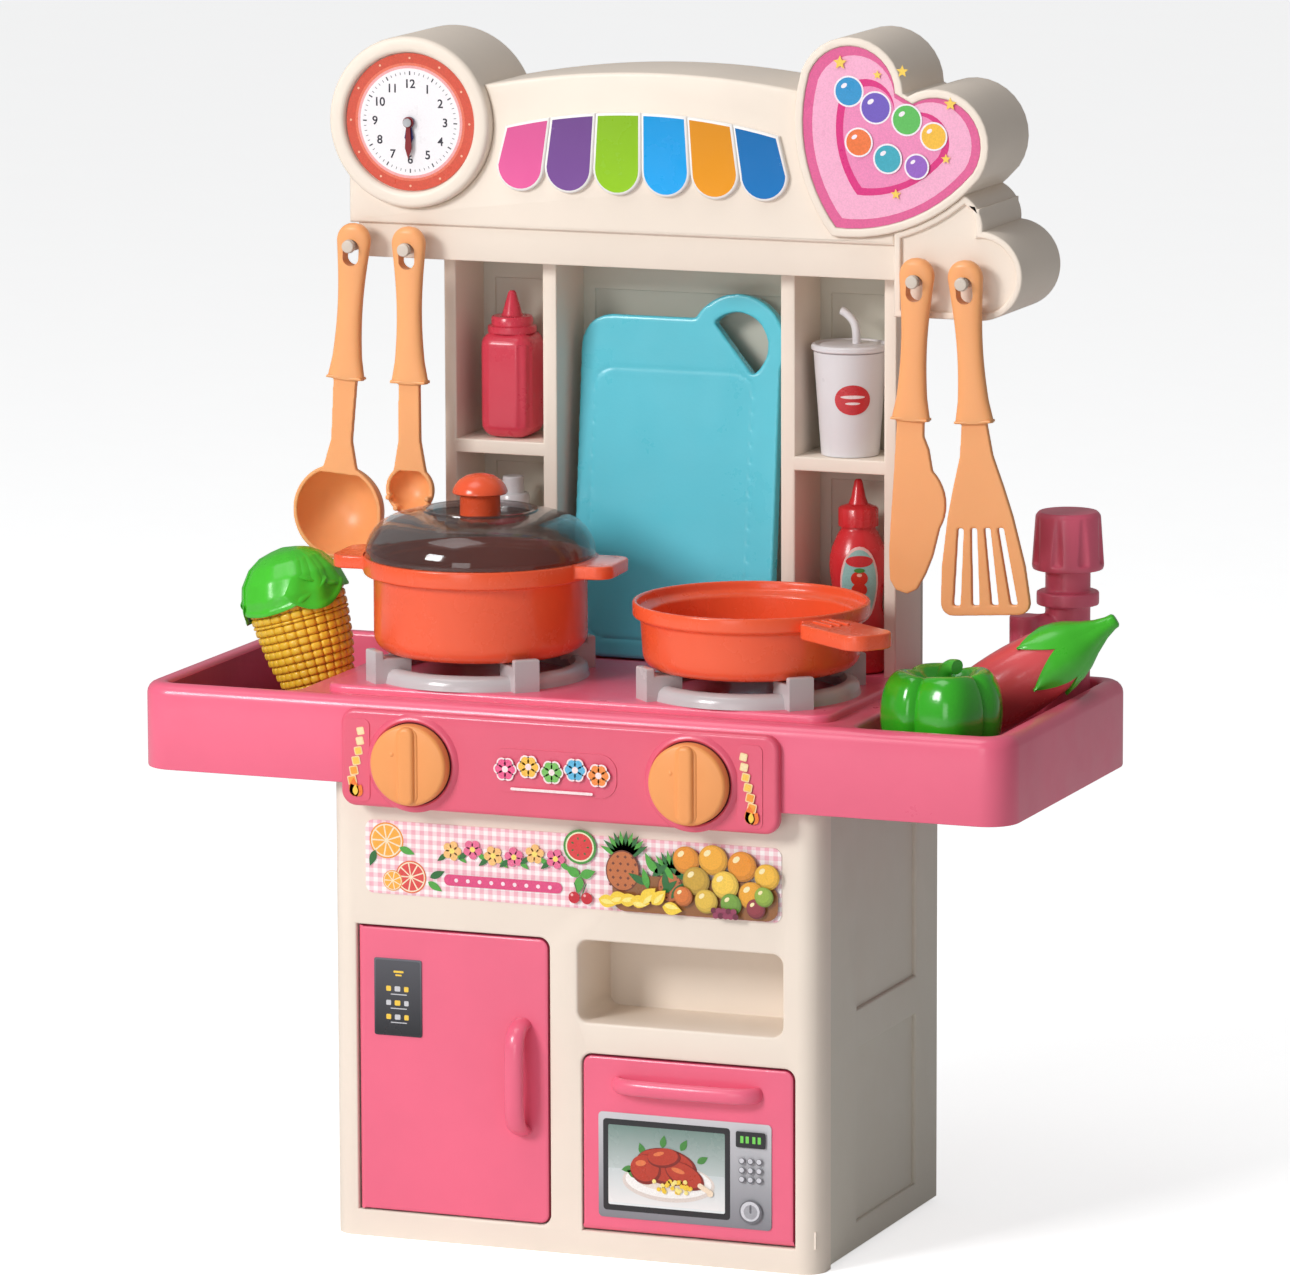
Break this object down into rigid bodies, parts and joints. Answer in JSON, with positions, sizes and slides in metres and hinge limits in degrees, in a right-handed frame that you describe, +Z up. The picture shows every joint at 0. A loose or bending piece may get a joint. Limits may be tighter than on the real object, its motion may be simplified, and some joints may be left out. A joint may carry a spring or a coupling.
{
  "type": "toy kitchen",
  "caption": "Child's play kitchen: cabinet with fridge and oven doors, worktop with hob and side trays, shelf unit with clock, heart and cloud header, pots, tools and play food.",
  "frame": {"origin": "the face that the cabinet stands on, midway across the worktop", "axes": "+X to the viewer's right, -Y towards the front, +Z up"},
  "size_m": [0.4367, 0.188, 0.551],
  "materials": {
    "cream_shell": "gloss",
    "pink_shell": "gloss",
    "deep_pink_shell": "gloss",
    "pin_steel": "gloss",
    "screw_steel": "gloss",
    "dark_sticker": "gloss",
    "silver_sticker": "gloss",
    "banner_print": "gloss",
    "panel_print": "gloss",
    "awning_print": "gloss",
    "peach_knob": "satin",
    "grey_ring": "gloss",
    "orange_pan": "gloss",
    "smoky_clear": "gloss",
    "clock_print": "gloss",
    "navy_hand": "gloss",
    "red_hand": "gloss",
    "heart_print": "gloss",
    "peach_tool": "gloss",
    "cyan_board": "gloss",
    "red_bottle": "gloss",
    "white_bottle": "gloss",
    "corn_yellow": "gloss",
    "husk_green": "gloss",
    "pepper_green": "gloss",
    "eggplant_red": "gloss"
  },
  "bodies": {
    "cabinet": {"front_panel": "cream_shell", "side_panel_left": "cream_shell", "side_panel_right": "cream_shell", "rear_panel": "cream_shell", "base_plate": "cream_shell", "fridge_liner": "cream_shell", "oven_liner": "cream_shell", "niche_liner": "cream_shell", "fridge_hinge_pins": "pin_steel", "oven_hinge_pins": "pin_steel", "banner_sticker": "banner_print", "worktop": "pink_shell", "control_panel": "deep_pink_shell", "panel_stickers": "panel_print", "burner_left": "grey_ring", "burner_right": "grey_ring", "shelf_frame": "cream_shell", "back_panel": "cream_shell", "header_shell": "cream_shell", "header_back_cover": "cream_shell", "awning": "awning_print", "clock_housing": "cream_shell", "clock_face": "clock_print", "clock_pivot": "pin_steel", "heart_housing": "cream_shell", "heart_badge": "heart_print", "cloud_panel": "cream_shell", "utensil_pegs": "grey_ring", "faucet_base": "deep_pink_shell", "assembly_screws": "screw_steel"},
    "fridge_door": {"fridge_door": "pink_shell", "fridge_handle": "pink_shell", "fridge_display": "dark_sticker"},
    "oven_door": {"oven_door": "pink_shell", "oven_handle": "pink_shell", "oven_sticker": "silver_sticker"},
    "knob_left": {"knob_left": "peach_knob"},
    "knob_right": {"knob_right": "peach_knob"},
    "hour_hand": {"clock_hour_hand": "navy_hand"},
    "minute_hand": {"clock_minute_hand": "red_hand"},
    "pot": {"pot": "orange_pan"},
    "pot_lid": {"pot_lid": "smoky_clear", "pot_lid_knob": "orange_pan"},
    "pan": {"pan": "orange_pan"},
    "faucet_cap": {"faucet_cap": "deep_pink_shell"},
    "ladle": {"ladle": "peach_tool"},
    "pasta_server": {"pasta_server": "peach_tool"},
    "knife": {"knife": "peach_tool"},
    "spatula": {"spatula": "peach_tool"},
    "cutting_board": {"cutting_board": "cyan_board"},
    "red_bottle": {"red_bottle": "red_bottle"},
    "white_bottle": {"white_bottle": "white_bottle"},
    "drink_cup": {"drink_cup": "white_bottle"},
    "cup_lid": {"cup_lid": "white_bottle"},
    "ketchup_bottle": {"ketchup_bottle": "red_bottle"},
    "corn_tip": {"corn_tip": "corn_yellow"},
    "corn_husk_end": {"corn_husk_end": "husk_green"},
    "pepper": {"pepper": "pepper_green"},
    "eggplant": {"eggplant": "eggplant_red", "eggplant_calyx": "husk_green"}
  },
  "joints": [
    {"name": "fridge_hinge", "type": "hinge", "parent": "cabinet", "child": "fridge_door", "pos_m": [-0.1027, -0.0679, 0.08], "axis": [0, 0, -1], "range_deg": [0, 90]},
    {"name": "oven_hinge", "type": "hinge", "parent": "cabinet", "child": "oven_door", "pos_m": [0.0559, -0.0679, 0.0157], "axis": [1, 0, 0], "range_deg": [0, 90]},
    {"name": "knob_left_turn", "type": "hinge", "parent": "cabinet", "child": "knob_left", "pos_m": [-0.0725, -0.084, 0.2255], "axis": [0, 1, 0], "range_deg": [0, 150]},
    {"name": "knob_right_turn", "type": "hinge", "parent": "cabinet", "child": "knob_right", "pos_m": [0.063, -0.084, 0.2255], "axis": [0, 1, 0], "range_deg": [0, 150]},
    {"name": "hour_hand_turn", "type": "hinge", "parent": "cabinet", "child": "hour_hand", "pos_m": [-0.1205, 0.03, 0.5043], "axis": [0, 1, 0], "continuous": true},
    {"name": "minute_hand_turn", "type": "hinge", "parent": "cabinet", "child": "minute_hand", "pos_m": [-0.1205, 0.029, 0.5043], "axis": [0, 1, 0], "continuous": true},
    {"name": "pot_lift", "type": "slide", "parent": "cabinet", "child": "pot", "axis": [0, 0, 1], "range_m": [0, 0.08]},
    {"name": "pot_lid_lift", "type": "slide", "parent": "pot", "child": "pot_lid", "axis": [0, 0, 1], "range_m": [0, 0.06]},
    {"name": "pan_lift", "type": "slide", "parent": "cabinet", "child": "pan", "axis": [0, 0, 1], "range_m": [0, 0.08]},
    {"name": "faucet_press", "type": "slide", "parent": "cabinet", "child": "faucet_cap", "axis": [0, 0, -1], "range_m": [0, 0.0055], "stiffness_N_per_m": 200, "springref_m": -0.002},
    {"name": "ladle_swing", "type": "hinge", "parent": "cabinet", "child": "ladle", "pos_m": [-0.147, 0.026, 0.4465], "axis": [0, 1, 0], "range_deg": [0, 18]},
    {"name": "pasta_server_swing", "type": "hinge", "parent": "cabinet", "child": "pasta_server", "pos_m": [-0.1192, 0.026, 0.446], "axis": [0, 1, 0], "range_deg": [-1.5, 1.5]},
    {"name": "knife_swing", "type": "hinge", "parent": "cabinet", "child": "knife", "pos_m": [0.1305, 0.026, 0.442], "axis": [0, 1, 0], "range_deg": [0, 3]},
    {"name": "spatula_swing", "type": "hinge", "parent": "cabinet", "child": "spatula", "pos_m": [0.154, 0.026, 0.442], "axis": [0, -1, 0], "range_deg": [0, 12]},
    {"name": "board_pull", "type": "slide", "parent": "cabinet", "child": "cutting_board", "axis": [0, -1, 0], "range_m": [0, 0.012]},
    {"name": "red_bottle_pull", "type": "slide", "parent": "cabinet", "child": "red_bottle", "axis": [0, -1, 0], "range_m": [0, 0.015]},
    {"name": "white_bottle_pull", "type": "slide", "parent": "cabinet", "child": "white_bottle", "axis": [0, -1, 0], "range_m": [0, 0.015]},
    {"name": "cup_pull", "type": "slide", "parent": "cabinet", "child": "drink_cup", "axis": [0, -1, 0], "range_m": [0, 0.012]},
    {"name": "cup_lid_lift", "type": "slide", "parent": "drink_cup", "child": "cup_lid", "axis": [0, 0, 1], "range_m": [0, 0.012]},
    {"name": "ketchup_pull", "type": "slide", "parent": "cabinet", "child": "ketchup_bottle", "axis": [0, -1, 0], "range_m": [0, 0.015]},
    {"name": "corn_lift", "type": "slide", "parent": "cabinet", "child": "corn_tip", "axis": [0, 0, 1], "range_m": [0, 0.03]},
    {"name": "corn_part", "type": "slide", "parent": "corn_tip", "child": "corn_husk_end", "axis": [-0.279, 0, 0.9603], "range_m": [0, 0.025]},
    {"name": "pepper_lift", "type": "slide", "parent": "cabinet", "child": "pepper", "axis": [0, 0, 1], "range_m": [0, 0.025]},
    {"name": "eggplant_lift", "type": "slide", "parent": "cabinet", "child": "eggplant", "axis": [0.8101, 0.2171, 0.5446], "range_m": [0, 0.015]}
  ]
}
